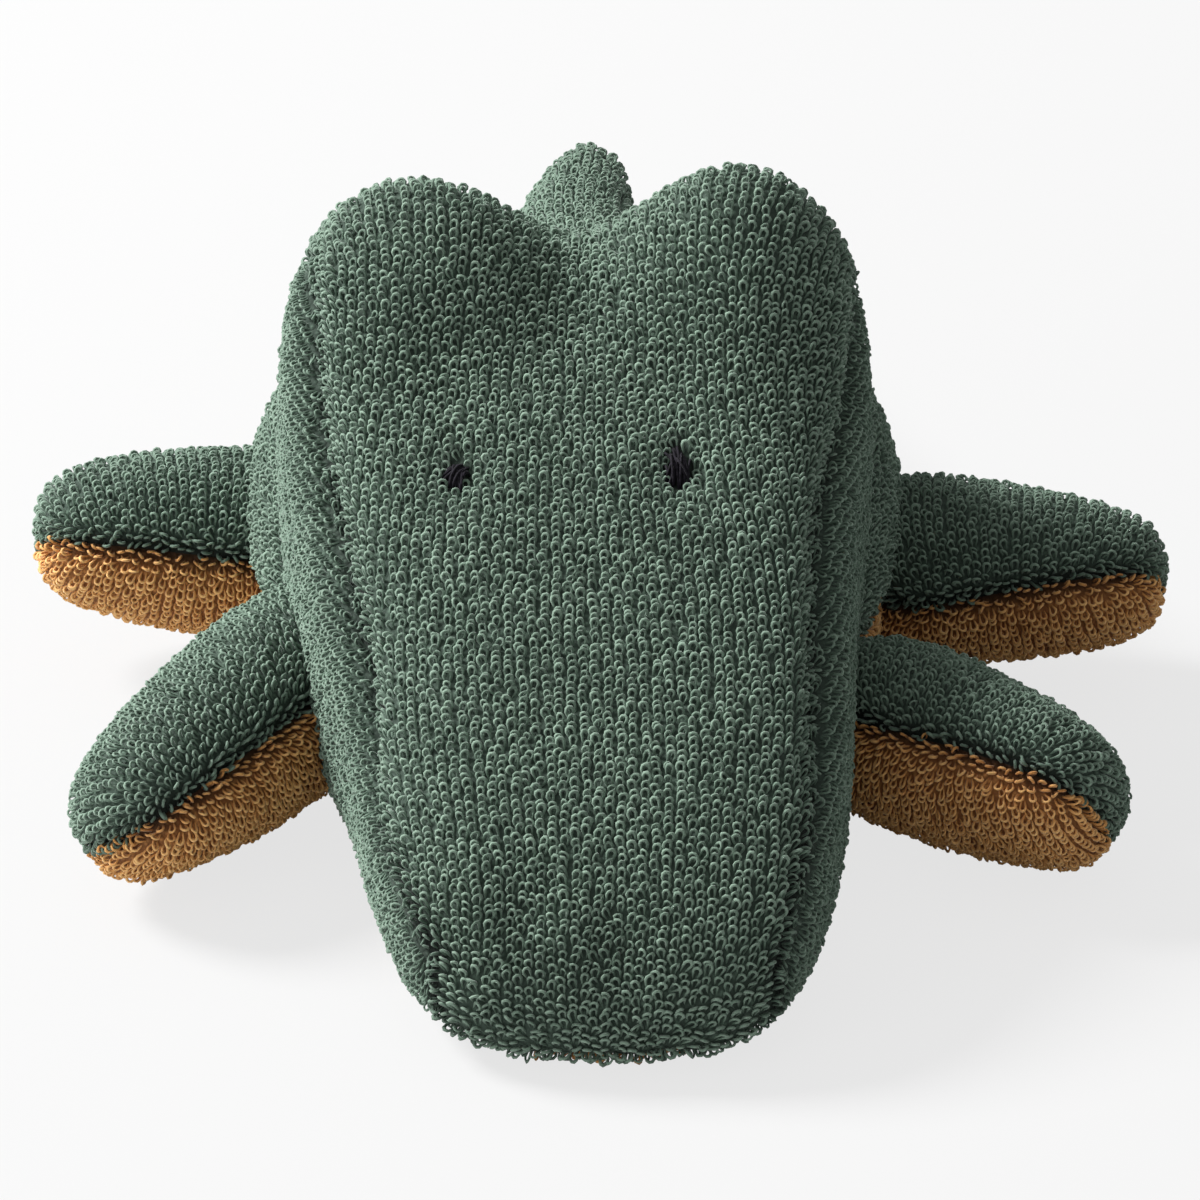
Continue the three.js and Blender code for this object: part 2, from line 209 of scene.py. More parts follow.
def spacedPoints(section, start, end, count):
    steps = 120
    fine = np.array([sectionPoint(section, start + (end - start) * i / steps) for i in range(steps + 1)])
    lengths = np.concatenate(([0], np.cumsum(np.linalg.norm(np.diff(fine, axis=0), axis=1))))
    places = np.linspace(0, lengths[-1], count, endpoint=False)
    across, up = (np.interp(places, lengths, fine[:, axis]) for axis in (0, 1))
    return [Vector((x, section["y"], z)) for x, z in zip(across, up)]


def upperAndUnder(section, seam, columns):
    # A ring's points on the upper panel, then those on the panel under it
    upper = spacedPoints(section, seam, math.pi - seam, columns)
    return upper + spacedPoints(section, math.pi - seam, 2 * math.pi + seam, columns)


def twoPanelForm(rings, columns, name):
    return roundedMesh(loftRings(rings, lambda row, column: 0 if column < columns else 1), name, 2)


def grownFrom(vert, made):
    return next(edge.other_vert(vert) for edge in vert.link_edges if edge.other_vert(vert) in made)


def loftRings(rings, panelOf):
    # Each ring is drawn out of the one before. A ring whose points coincide closes to a tip.
    bm = bmesh.new()
    ring = bmesh.ops.create_circle(bm, segments=len(rings[0]), radius=1)["verts"]
    for vert, place in zip(ring, rings[0]):
        vert.co = place
    lofted = list(ring)
    for row, places in enumerate(rings[1:]):
        edges = [bm.edges.get(pair) for pair in zip(ring, ring[1:] + ring[:1])]
        drawn = bmesh.ops.extrude_edge_only(bm, edges=edges)["geom"]
        made = {item for item in drawn if isinstance(item, bmesh.types.BMVert)}
        grown = [grownFrom(vert, made) for vert in ring]
        for column, (vert, place) in enumerate(zip(grown, places)):
            vert.co = place
            follow = (column + 1) % len(ring)
            face = bm.faces.get((ring[column], ring[follow], grown[follow], grown[column]))
            face.material_index = panelOf(row, column)
        ring = grown
        lofted += ring
    for index, vert in enumerate(lofted):
        vert.index = index
    bm.verts.sort()
    bmesh.ops.remove_doubles(bm, verts=bm.verts, dist=0.001)
    bmesh.ops.recalc_face_normals(bm, faces=bm.faces)
    return bm


def sortedFaces(bm):
    # Extruding can leave the faces in another order each run, which would move the loops on them
    bm.verts.index_update()
    faces = []
    for face in bm.faces:
        corners = [vert.index for vert in face.verts]
        first = corners.index(min(corners))
        faces.append((corners[first:] + corners[:first], face.material_index))
    return sorted(faces)


def roundedMesh(bm, name, panels):
    mesh = bpy.data.meshes.new(name)
    for _ in range(panels):
        mesh.materials.append(None)
    faces = sortedFaces(bm)
    mesh.from_pydata([vert.co[:] for vert in bm.verts], [], [corners for corners, _ in faces])
    mesh.polygons.foreach_set("material_index", [panel for _, panel in faces])
    bm.free()
    form = bpy.data.objects.new(name, mesh)
    scene.collection.objects.link(form)
    rounding = form.modifiers.new("rounding", "SUBSURF")
    rounding.levels = rounding.render_levels = 2
    applyModifiers(form)
    return form


def applyModifiers(piece):
    bpy.context.view_layer.update()
    finished = bpy.data.meshes.new_from_object(piece.evaluated_get(bpy.context.evaluated_depsgraph_get()))
    piece.modifiers.clear()
    piece.data = finished


def reshape(form, rule):
    normals = [vert.normal.copy() for vert in form.data.vertices]
    for vert, normal in zip(form.data.vertices, normals):
        vert.co = rule(vert.co.copy(), normal)
    form.data.update()


def seamTree(form):
    # The points where two panels meet
    panels = {}
    for face in form.data.polygons:
        for index in face.vertices:
            panels.setdefault(index, set()).add(face.material_index)
    seam = [index for index, found in panels.items() if len(found) > 1]
    tree = KDTree(len(seam))
    for index in seam:
        tree.insert(form.data.vertices[index].co, index)
    tree.balance()
    return tree


sewing = {"ripple": 0.35, "rippleSize": 0.22, "fade": 20, "slackShare": 0.8}


def drawInSeams(form, depth, reach, tight=(-50, 1000)):
    # Seams are drawn in fully only between the two places of tight
    tree = seamTree(form)

    def rule(place, normal):
        distance = tree.find(place)[2]
        fade = sewing["fade"]
        slack = 1 - smooth(place.y, tight[0] - fade, tight[0]) + smooth(place.y, tight[1], tight[1] + fade)
        pull = 1 + sewing["ripple"] * noise.noise(place * sewing["rippleSize"]) - sewing["slackShare"] * slack
        return place - normal * depth * pull * math.exp(-((distance / reach) ** 2))

    reshape(form, rule)


def restOnFloor(form, height=1.4, soften=1.5):
    # The underside spreads where it lies, a pile's height above the floor
    def rule(place, normal):
        if place.z < height + soften:
            sunk = (place.z - height) / soften
            place.z = height + soften * max(0, (sunk + 1) / 2) ** 2 if sunk > -1 else height
        return place

    reshape(form, rule)


# Head

head = {
    "length": 120, "width": 76, "height": 70, "squareness": 4.5, "inset": 1.5,
    "bumps": [
        {"x": -22, "place": 97, "height": 10.5, "width": 27, "length": 28},
        {"x": 22, "place": 97, "height": 12.5, "width": 26, "length": 28},
    ],
    # where the cloth is drawn in: round the sewn eyes, just above them, and on the nose
    "dents": [
        {"x": -17.4, "place": 63.5, "depth": 1.7, "reach": 3.6},
        {"x": 10.6, "place": 63.5, "depth": 1.8, "reach": 3.8},
        {"x": -20, "place": 77, "depth": 1.1, "reach": 6}, {"x": 9, "place": 76, "depth": 1, "reach": 5},
        {"x": -26, "place": 92, "depth": 1, "reach": 6},
        {"x": -9, "place": 9, "depth": 1.1, "reach": 4.5}, {"x": 1, "place": 4.5, "depth": 0.9, "reach": 4},
    ],
    # on its left the cheek is pulled in and the corner of the nose stands out
    "hollows": [{"place": 42, "length": 14, "depth": 1.9}, {"place": 5, "length": 9, "depth": -2}],
    "jawSeam": [(0, 2), (10, 2.2), (30, 5), (122, 5)],
    # place along, half width, underside, widest point, top and squareness, as shares
    "sections": [
        (-0.002, 0, 0.08, 0.08, 0.08, 1), (0.003, 0.22, 0.03, 0.085, 0.15, 0.72),
        (0.018, 0.46, 0.01, 0.1, 0.215, 0.72), (0.05, 0.6, 0.005, 0.13, 0.286, 0.74),
        (0.1, 0.68, 0, 0.164, 0.357, 0.77), (0.167, 0.75, 0, 0.2, 0.433, 0.8),
        (0.258, 0.825, 0, 0.243, 0.514, 0.83), (0.375, 0.895, 0, 0.293, 0.616, 0.86),
        (0.5, 0.935, 0, 0.35, 0.73, 0.9), (0.625, 0.98, 0.03, 0.436, 0.833, 0.94),
        (0.708, 1.015, 0.1, 0.51, 0.885, 0.98), (0.758, 1.03, 0.18, 0.545, 0.92, 1),
        (0.808, 1.03, 0.26, 0.57, 0.943, 1), (0.858, 1.02, 0.32, 0.583, 0.94, 0.98),
        (0.908, 0.98, 0.37, 0.588, 0.905, 0.93), (0.958, 0.84, 0.41, 0.588, 0.83, 0.84),
        (1, 0.5, 0.47, 0.58, 0.7, 0.75), (1.02, 0, 0.56, 0.56, 0.56, 1),
    ],
    # how far out the top panel reaches, at places along the head
    "rightSeam": [
        (0, 20), (9, 21.4), (16, 24.1), (22, 25.6), (30, 27.3), (40, 28.5), (60, 30), (71, 32.8), (80, 35.5),
        (92, 36.4), (122, 34),
    ],
    "leftSeam": [
        (0, 19.5), (9, 20.8), (16, 25), (22, 27.6), (30, 29.1), (40, 30.1), (60, 30.7), (71, 32.3),
        (80, 33.4), (92, 34), (122, 33),
    ],
    "columns": {"top": 16, "side": 8, "jaw": 12},
    "turned": {"nose": 1.6, "crest": -2.9, "length": 80},  # how far it leans to one side at its two ends
    # the nose's first rings, and above the jaw those of a smaller half width than this, are all top panel
    "tipRings": 2, "noseHalf": 20,
    "upward": (-0.2, 0.6),  # bumps and dents grow over this range of the surface's upward slope
    "hollowSide": (8, 30),
    "drawnIn": {"depth": 2.9, "reach": 2.6, "tight": (38, 82)},
}


def sectionsOf(form):
    made = []
    for along, across, low, wide, high, square in form["sections"]:
        made.append({
            "y": form["inset"] + (form["length"] - 2 * form["inset"]) * along,
            "half": max(0, form["width"] / 2 * across - form["inset"]) if across else 0,
            "low": form["height"] * low + (form["inset"] if across else 0),
            "wide": form["height"] * wide,
            "high": form["height"] * high - (form["inset"] if across else 0),
            "square": form["squareness"] * square,
        })
    return made


# Seams keep this share of the way to a section's side, top or underside, and tips count as this wide
seamLimits = {"side": 0.995, "top": 0.98, "tip": 0.01}


def angleAtX(section, x):
    share = min(seamLimits["side"], x / max(section["half"], seamLimits["tip"]))
    return math.acos(share ** (section["square"] / 2))


def angleAtZ(section, z):
    reach = section["wide"] - section["low"] if z < section["wide"] else section["high"] - section["wide"]
    lift = min(seamLimits["top"], abs(z - section["wide"]) / max(reach, seamLimits["tip"]))
    return math.copysign(math.asin(lift ** (section["square"] / 2)), z - section["wide"])


def makeHead():
    sections = sectionsOf(head)
    counts = head["columns"]
    rings = []
    for section in sections:
        seams = (head["rightSeam"], head["leftSeam"], head["jawSeam"])
        right, left, jaw = (np.interp(section["y"], *zip(*seam)) for seam in seams)
        right, left = angleAtX(section, right), angleAtX(section, left)
        jaw = angleAtZ(section, max(section["low"], jaw))
        rings.append(
            spacedPoints(section, jaw, right, counts["side"])
            + spacedPoints(section, right, math.pi - left, counts["top"])
            + spacedPoints(section, math.pi - left, math.pi - jaw, counts["side"])
            + spacedPoints(section, math.pi - jaw, 2 * math.pi + jaw, counts["jaw"])
        )
    firstSided = next(i for i, section in enumerate(sections) if section["half"] > head["noseHalf"])
    edges = np.cumsum([counts["side"], counts["top"], counts["side"], counts["jaw"]])

    def panelOf(row, column):
        topPart, jawPart = 1, 3
        part = int(np.searchsorted(edges, column, side="right"))
        capped = row < head["tipRings"] or row < firstSided and part != jawPart
        return topPart if capped else part

    return roundedMesh(loftRings(rings, panelOf), "headForm", 4)


headForm = makeHead()


def headShape(place, normal):
    # The two brow bumps, the way this soft head turns and leans, and its dents
    upward = smooth(normal.z, *head["upward"])
    for bump in head["bumps"]:
        across, along = (place.x - bump["x"]) / bump["width"], (place.y - bump["place"]) / bump["length"]
        place.z += bump["height"] * math.cos(min(1, math.hypot(across, along)) * math.pi / 2) ** 2 * upward
    turned = head["turned"]
    place.x += turned["nose"] + (turned["crest"] - turned["nose"]) * smooth(place.y, 0, turned["length"])
    for hollow in head["hollows"]:
        away = (place.y - hollow["place"]) / hollow["length"]
        place.x += hollow["depth"] * math.exp(-away * away) * smooth(-place.x, *head["hollowSide"])
    for dent in head["dents"]:
        away = math.hypot(place.x - dent["x"], place.y - dent["place"]) / dent["reach"]
        place -= normal * dent["depth"] * math.exp(-away * away) * upward
    return place


reshape(headForm, headShape)
drawInSeams(headForm, **head["drawnIn"])
restOnFloor(headForm)
print("head formed")


# Body and tail

body = {
    "start": 57, "length": 103, "width": 89.5, "height": 56, "squareness": 2.5, "inset": 1.5, "seam": 17,
    "columns": 14,
    "sections": [
        (0, 0, 0.29, 0.29, 0.29, 1), (0.015, 0.34, 0.13, 0.29, 0.42, 1), (0.049, 0.53, 0, 0.3, 0.55, 1),
        (0.107, 0.7, 0, 0.32, 0.67, 1), (0.184, 0.84, 0, 0.34, 0.78, 1), (0.282, 0.93, 0, 0.36, 0.875, 1),
        (0.398, 0.985, 0, 0.385, 0.96, 1), (0.515, 1, 0, 0.39, 1, 1), (0.631, 0.95, 0, 0.375, 0.93, 1),
        (0.748, 0.83, 0, 0.34, 0.825, 1), (0.854, 0.655, 0, 0.31, 0.71, 1),
        (0.932, 0.45, 0.05, 0.3, 0.595, 1), (0.981, 0.235, 0.15, 0.3, 0.46, 1), (1, 0, 0.3, 0.3, 0.3, 1),
    ],
    "lean": {"shift": 3, "height": 12, "fade": (130, 160)},  # it sinks to one side above its seam
}
tail = {
    "start": 138, "length": 98, "width": 56, "height": 42.5, "squareness": 2.2, "inset": 1.3, "seam": 14.5,
    "columns": 10,
    "sections": [
        (-0.13, 0, 0.39, 0.39, 0.39, 1), (-0.11, 0.5, 0.2, 0.39, 0.75, 1), (-0.06, 0.86, 0.06, 0.39, 0.92, 1),
        (0, 1, 0, 0.39, 0.99, 1), (0.14, 0.86, 0, 0.365, 0.9, 1), (0.26, 0.7, 0.012, 0.353, 0.815, 1),
        (0.4, 0.54, 0.047, 0.341, 0.73, 1), (0.545, 0.43, 0.082, 0.341, 0.666, 1),
        (0.69, 0.35, 0.125, 0.341, 0.619, 1), (0.815, 0.3, 0.16, 0.346, 0.576, 1),
        (0.907, 0.236, 0.2, 0.353, 0.529, 1), (0.97, 0.143, 0.259, 0.365, 0.471, 1),
        (1, 0, 0.365, 0.365, 0.365, 1),
    ],
    "bend": {"aside": 1.2, "curve": 2.2, "out": (175, 195), "back": (200, 228)},
}
sewnIn = {"depth": 1.8, "reach": 2.6}


def makeTrunk(form, name):
    rings = []
    for section in sectionsOf(form):
        section["y"] += form["start"]
        rings.append(upperAndUnder(section, angleAtZ(section, form["seam"]), form["columns"]))
    return twoPanelForm(rings, form["columns"], name)


bodyForm = makeTrunk(body, "bodyForm")
tailForm = makeTrunk(tail, "tailForm")


def bodyShape(place, normal):
    lean = body["lean"]
    place.x -= lean["shift"] * smooth(place.z, 0, lean["height"]) * (1 - smooth(place.y, *lean["fade"]))
    return place


def tailShape(place, normal):
    bend = tail["bend"]
    out, back = smooth(place.y, *bend["out"]), smooth(place.y, *bend["back"])
    place.x -= bend["aside"] + bend["curve"] * out * (1 - back)
    return place


reshape(bodyForm, bodyShape)
reshape(tailForm, tailShape)
for form in (bodyForm, tailForm):
    drawInSeams(form, **sewnIn)
    restOnFloor(form)
print("body and tail formed")


# Legs

# turn is how far the sole faces forwards, at the hip and at the tip
legs = {
    "leg_front_right": {
        "side": 1, "hip": (38, 65.5, 13.2), "reach": 34.5, "forward": 41, "droop": 2, "turn": (30, 52),
        "width": 30, "thickness": 25,
    },
    "leg_front_left": {
        "side": -1, "hip": (-38.5, 73.5, 15.3), "reach": 43, "forward": 58.5, "droop": 5, "turn": (30, 38),
        "width": 28, "thickness": 26.5,
    },
    "leg_rear_right": {
        "side": 1, "hip": (42, 104.5, 16.2), "reach": 34, "forward": 6, "droop": 3, "turn": (-3, 46),
        "width": 27, "thickness": 25,
    },
    "leg_rear_left": {
        "side": -1, "hip": (-43.5, 109, 17.6), "reach": 31.8, "forward": 6, "droop": -2, "turn": (12, 32),
        "width": 27, "thickness": 26,
    },
}
legForm = {
    "inset": 1, "squareness": 2.3, "columns": 10, "drawnIn": {"depth": 1.3, "reach": 1.8},
    # place along, then the half width, the top and the sole there, as shares
    "sections": [
        (-0.37, 0, 0, 0), (-0.35, 0.4, 0.4, 0.4), (-0.29, 0.68, 0.68, 0.68), (-0.18, 0.88, 0.88, 0.88),
        (0, 1, 1, 1), (0.26, 0.99, 1, 0.97), (0.48, 0.95, 0.97, 0.89), (0.68, 0.88, 0.91, 0.76),
        (0.83, 0.77, 0.83, 0.64), (0.92, 0.64, 0.7, 0.49), (0.975, 0.44, 0.48, 0.3), (1, 0, 0, 0),
    ],
}


def makeLeg(name, leg):
    rings = []
    reach = leg["reach"] - legForm["inset"]
    for along, *shares in legForm["sections"]:
        halves = (leg["width"] / 2, leg["thickness"] / 2, leg["thickness"] / 2)
        across, top, sole = (max(0, half * share - legForm["inset"]) for half, share in zip(halves, shares))
        section = {
            "y": reach * along, "half": across, "low": -sole, "wide": 0, "high": top,
            "square": legForm["squareness"],
        }
        rings.append(upperAndUnder(section, 0, legForm["columns"]))
    form = twoPanelForm(rings, legForm["columns"], name + "Form")
    side, forward = leg["side"], math.radians(leg["forward"])

    def twist(place, normal):
        share = min(1, max(0, place.y / reach))
        turn = leg["turn"][0] + (leg["turn"][1] - leg["turn"][0]) * share
        return Matrix.Rotation(math.radians(-side * turn), 3, "Y") @ place

    reshape(form, twist)
    out = Matrix.Rotation(-math.pi / 2, 4, "Z")
    bearing = -forward if side > 0 else math.pi + forward
    heading = Euler((0, math.radians(leg["droop"]), bearing)).to_matrix().to_4x4()
    form.data.transform(Matrix.Translation(leg["hip"]) @ heading @ out)
    drawInSeams(form, **legForm["drawnIn"])
    restOnFloor(form)
    return form


legForms = {name: makeLeg(name, leg) for name, leg in legs.items()}
print("legs formed")


# Eyes: satin stitches, each an arch of thread that dips into the cloth at both ends

eyes = {
    "eye_left": {"x": -17.4, "place": 64.4, "width": 2.7, "length": 3.7, "turn": -30},
    "eye_right": {"x": 10.1, "place": 65, "width": 2.9, "length": 5.7, "turn": 10},
}
satin = {
    "thread": 0.17, "sides": 6, "spacing": 0.26, "height": 1.3, "rise": 0.2, "steps": 9, "layers": 3,
    "seed": 3,
    # how uneven the stitches are: sideways, along, in length, in slant and in height
    "aside": 0.1, "shift": 0.25, "lengths": (0.72, 1.18), "slant": 0.5, "lifts": (0.8, 1.1),
}


def threadMaterial():
    # Dark twisted thread with a soft shine along it
    material, tree, shader = newMaterial(
        "eyeThread", Roughness=0.8, Sheen_Weight=0.06, Sheen_Roughness=0.4, Specular_IOR_Level=0.2,
    )
    strands = fineNoise(tree, scale=2600, detail=2)
    colour = colourRamp(tree, strands, [(0.3, (0.003, 0.0025, 0.004)), (0.75, (0.02, 0.016, 0.026))])
    tree.links.new(colour, shader.inputs["Base Color"])
    addBump(tree, shader, strands, strength=0.4, distance=0.00005)
    return material


def makeEye(name, eye, ground, thread):
    dice = Random(satin["seed"])
    bm = bmesh.new()
    for layer in range(satin["layers"]):
        count = round(eye["width"] / satin["spacing"]) - 2 * layer
        for row in range(count):
            x = (row - (count - 1) / 2) * satin["spacing"] + dice.uniform(-satin["aside"], satin["aside"])
            rounded = math.sqrt(max(0.1, 1 - (2 * x / eye["width"]) ** 2))
            half = eye["length"] / 2 * rounded * dice.uniform(*satin["lengths"])
            ring = bmesh.ops.create_circle(bm, segments=satin["sides"], radius=satin["thread"])["verts"]
            bmesh.ops.translate(bm, verts=ring, vec=(0, half, 0))
            edges = list({edge for vert in ring for edge in vert.link_edges})
            bmesh.ops.spin(
                bm, geom=ring + edges, cent=(0, 0, 0), axis=(1, 0, 0), angle=math.pi, steps=satin["steps"],
            )
            arch = [vert for vert in bm.verts if not vert.tag]
            slant = dice.uniform(-satin["slant"], satin["slant"])
            shift = dice.uniform(-satin["shift"], satin["shift"])
            lift = dice.uniform(*satin["lifts"])
            for vert in arch:
                vert.tag = True
                vert.co.z *= lift * (satin["height"] + satin["rise"] * layer) / half
                vert.co.x += x + slant * vert.co.y
                vert.co.y += shift
    bmesh.ops.rotate(bm, verts=bm.verts, matrix=Matrix.Rotation(math.radians(eye["turn"]), 3, "Z"))
    above = 200
    found, normal, _, _ = ground.ray_cast(Vector((eye["x"], eye["place"], above)), Vector((0, 0, -1)))
    along = (Vector((0, 1, 0)) - normal * normal.y).normalized()
    basis = Matrix((along.cross(normal), along, normal)).transposed()
    bmesh.ops.transform(bm, matrix=Matrix.Translation(found) @ basis.to_4x4(), verts=bm.verts)
    bmesh.ops.recalc_face_normals(bm, faces=bm.faces)
    for face in bm.faces:
        face.smooth = True
    mesh = bpy.data.meshes.new(name)
    bm.to_mesh(mesh)
    bm.free()
    mesh.materials.append(thread)
    stitches = bpy.data.objects.new(name, mesh)
    scene.collection.objects.link(stitches)
    return stitches


# Terry: every panel is unwrapped flat, like its paper pattern, and knitted full of loops there

terry = {
    "wale": 1.44, "course": 1.03, "yarn": 0.195, "sides": 4, "loopWidth": 0.9, "loopHeight": 1.45,
    "loopSteps": 4, "buried": 0.3,
    "lean": 52, "kinds": 7, "seed": 7, "seamGap": 0.15, "seamReach": 1.5, "fringe": 2.2, "seamShadow": 1.8,
    "bareMargin": 0.25, "shadedMargin": 0.6, "lowest": 0.2,
    # how uneven the loops are: across and along the cloth in stitches, then in degrees, sizes and shades
    "strayAcross": 0.035, "strayAlong": 0.07, "phase": 0.2, "leans": 9, "tilts": (8, 12), "twists": (17, 10),
    "sizes": (0.88, 1.14), "heights": (0.86, 1.16), "seamHeight": 0.25,
    # the seam share darkens the loops beside a seam, a painted shade in its groove
    "shades": 0.24, "patches": 0.1, "patchSize": 0.12, "paintedSeamShade": 0.27,
    # combed side panels start at a lower tone, a painted shade that tones down how bright the lit sides come
    # out
    "upright": {"combed": 0.5, "other": 0.85}, "toneAndSideShade": {"combed": 0.1, "other": 0.15},
}
loopShape = {"sway": (-0.25, 0.35), "twist": 0.5, "pinch": (0.35, 0.6), "pinched": 1.6, "turned": 0.3}


def makeLoop(kind, material):
    # A bent length of yarn: half a ring, with its two legs drawn down to the ground
    dice = Random(terry["seed"] + kind)
    radius = terry["loopWidth"] / 2
    leg = terry["loopHeight"] - radius
    bm = bmesh.new()
    rise = bm.verts.layers.float.new("rise")
    aside = Matrix.Translation((radius, 0, 0))
    start = bmesh.ops.create_circle(bm, segments=terry["sides"], radius=terry["yarn"], matrix=aside)["verts"]
    ring = list({edge for vert in start for edge in vert.link_edges})
    bmesh.ops.spin(
        bm, geom=start + ring, cent=(0, 0, 0), axis=(0, -1, 0), angle=math.pi, steps=terry["loopSteps"],
    )
    ends = [edge for edge in bm.edges if edge.is_boundary]
    drawn = bmesh.ops.extrude_edge_only(bm, edges=ends)["geom"]
    feet = [item for item in drawn if isinstance(item, bmesh.types.BMVert)]
    bmesh.ops.translate(bm, verts=feet, vec=(0, 0, -leg))
    bmesh.ops.translate(bm, verts=bm.verts, vec=(0, 0, leg - terry["buried"]))
    sway = dice.uniform(*loopShape["sway"])
    twist = dice.uniform(-loopShape["twist"], loopShape["twist"])
    pinch = dice.uniform(*loopShape["pinch"])
    for vert in bm.verts:
        height = max(0, vert.co.z) / (terry["loopHeight"] - terry["buried"])
        vert[rise] = min(1, height)
        vert.co.x *= pinch + (1 - pinch) * min(1, height * loopShape["pinched"])
        vert.co.y += sway * height ** 2 + twist * vert.co.x * height
        vert.co.x += loopShape["turned"] * twist * height ** 2
    mesh = bpy.data.meshes.new(f"loop{kind}")
    bm.to_mesh(mesh)
    bm.free()
    mesh.materials.append(material)
    for face in mesh.polygons:
        face.use_smooth = True
    return bpy.data.objects.new(f"loop{kind}", mesh)


def loopSet(name, material):
    folder = bpy.data.collections.new(name)
    for kind in range(terry["kinds"]):
        folder.objects.link(makeLoop(kind, material))
    return folder


def pileNodes(folder):
    # Puts a loop on every stitch, turned, sized and picked by the stitch's own attributes
    tree = bpy.data.node_groups.new("pileOf" + folder.name, "GeometryNodeTree")
    tree.interface.new_socket("Geometry", in_out="INPUT", socket_type="NodeSocketGeometry")
    tree.interface.new_socket("Geometry", in_out="OUTPUT", socket_type="NodeSocketGeometry")
    stitches = tree.nodes.new("NodeGroupInput")
    pile = tree.nodes.new("NodeGroupOutput")
    loops = tree.nodes.new("GeometryNodeCollectionInfo")
    loops.inputs["Collection"].default_value = folder
    loops.inputs["Separate Children"].default_value = True
    loops.inputs["Reset Children"].default_value = True
    place = tree.nodes.new("GeometryNodeInstanceOnPoints")
    place.inputs["Pick Instance"].default_value = True
    tree.links.new(stitches.outputs[0], place.inputs["Points"])
    tree.links.new(loops.outputs[0], place.inputs["Instance"])
    for attribute, kind, socket in (
        ("turn", "FLOAT_VECTOR", "Rotation"), ("size", "FLOAT_VECTOR", "Scale"),
        ("kind", "INT", "Instance Index"),
    ):
        read = tree.nodes.new("GeometryNodeInputNamedAttribute")
        read.data_type = kind
        read.inputs["Name"].default_value = attribute
        tree.links.new(read.outputs["Attribute"], place.inputs[socket])
    real = tree.nodes.new("GeometryNodeRealizeInstances")
    tree.links.new(place.outputs[0], real.inputs[0])
    tree.links.new(real.outputs[0], pile.inputs[0])
    return tree


def cutPanel(form, index, name):
    bm = bmesh.new()
    bm.from_mesh(form.data)
    bmesh.ops.delete(bm, geom=[face for face in bm.faces if face.material_index != index], context="FACES")
    for face in bm.faces:
        face.material_index = 0
        face.smooth = True
    mesh = bpy.data.meshes.new(name)
    bm.to_mesh(mesh)
    bm.free()
    panel = bpy.data.objects.new(name, mesh)
    scene.collection.objects.link(panel)
    return panel


def unwrapFlat(panel, grain):
    # Flattens the panel at its real size, with its columns of loops along the grain
    mesh = panel.data
    mesh.uv_layers.new(name="cloth")
    # another panel that is still selected would be unwrapped again with it
    bpy.ops.object.select_all(action="DESELECT")
    bpy.context.view_layer.objects.active = panel
    panel.select_set(True)
    bpy.ops.object.mode_set(mode="EDIT")
    bpy.ops.mesh.select_all(action="SELECT")
    bpy.ops.uv.unwrap(method="MINIMUM_STRETCH", iterations=3, margin=0)
    bpy.ops.object.mode_set(mode="OBJECT")
    panel.select_set(False)
    flat = np.zeros(len(mesh.loops) * 2)
    mesh.uv_layers["cloth"].data.foreach_get("uv", flat)
    flat = flat.reshape(-1, 2)
    mesh.calc_loop_triangles()
    corners = np.array([tri.loops for tri in mesh.loop_triangles])
    first, second = flat[corners[:, 1]] - flat[corners[:, 0]], flat[corners[:, 2]] - flat[corners[:, 0]]
    flatArea = np.abs(first[:, 0] * second[:, 1] - first[:, 1] * second[:, 0]).sum() / 2
    flat = (flat - flat.mean(axis=0)) * math.sqrt(sum(tri.area for tri in mesh.loop_triangles) / flatArea)
    along = np.array([Vector(grain).dot(mesh.vertices[loop.vertex_index].co) for loop in mesh.loops])
    slope = np.linalg.lstsq(np.column_stack((flat, np.ones(len(flat)))), along, rcond=None)[0][:2]
    slope /= np.linalg.norm(slope)
    flat = np.column_stack((flat @ (slope[1], -slope[0]), flat @ slope))
    mesh.uv_layers["cloth"].data.foreach_set("uv", flat.ravel())
    return flat


def inSpots(place, spots, margin):
    for x, y, wide, long in spots:
        if math.hypot((place.x - x) / (wide + margin), (place.y - y) / (long + margin)) < 1:
            return True
    return False


def hiddenIn(place, neighbours):
    # Too deep inside a neighbour to come out when the toy bends
    for tree, depth in neighbours:
        found, normal, _, _ = tree.find_nearest(place)
        if (place - found).dot(normal) < -depth:
            return True
    return False


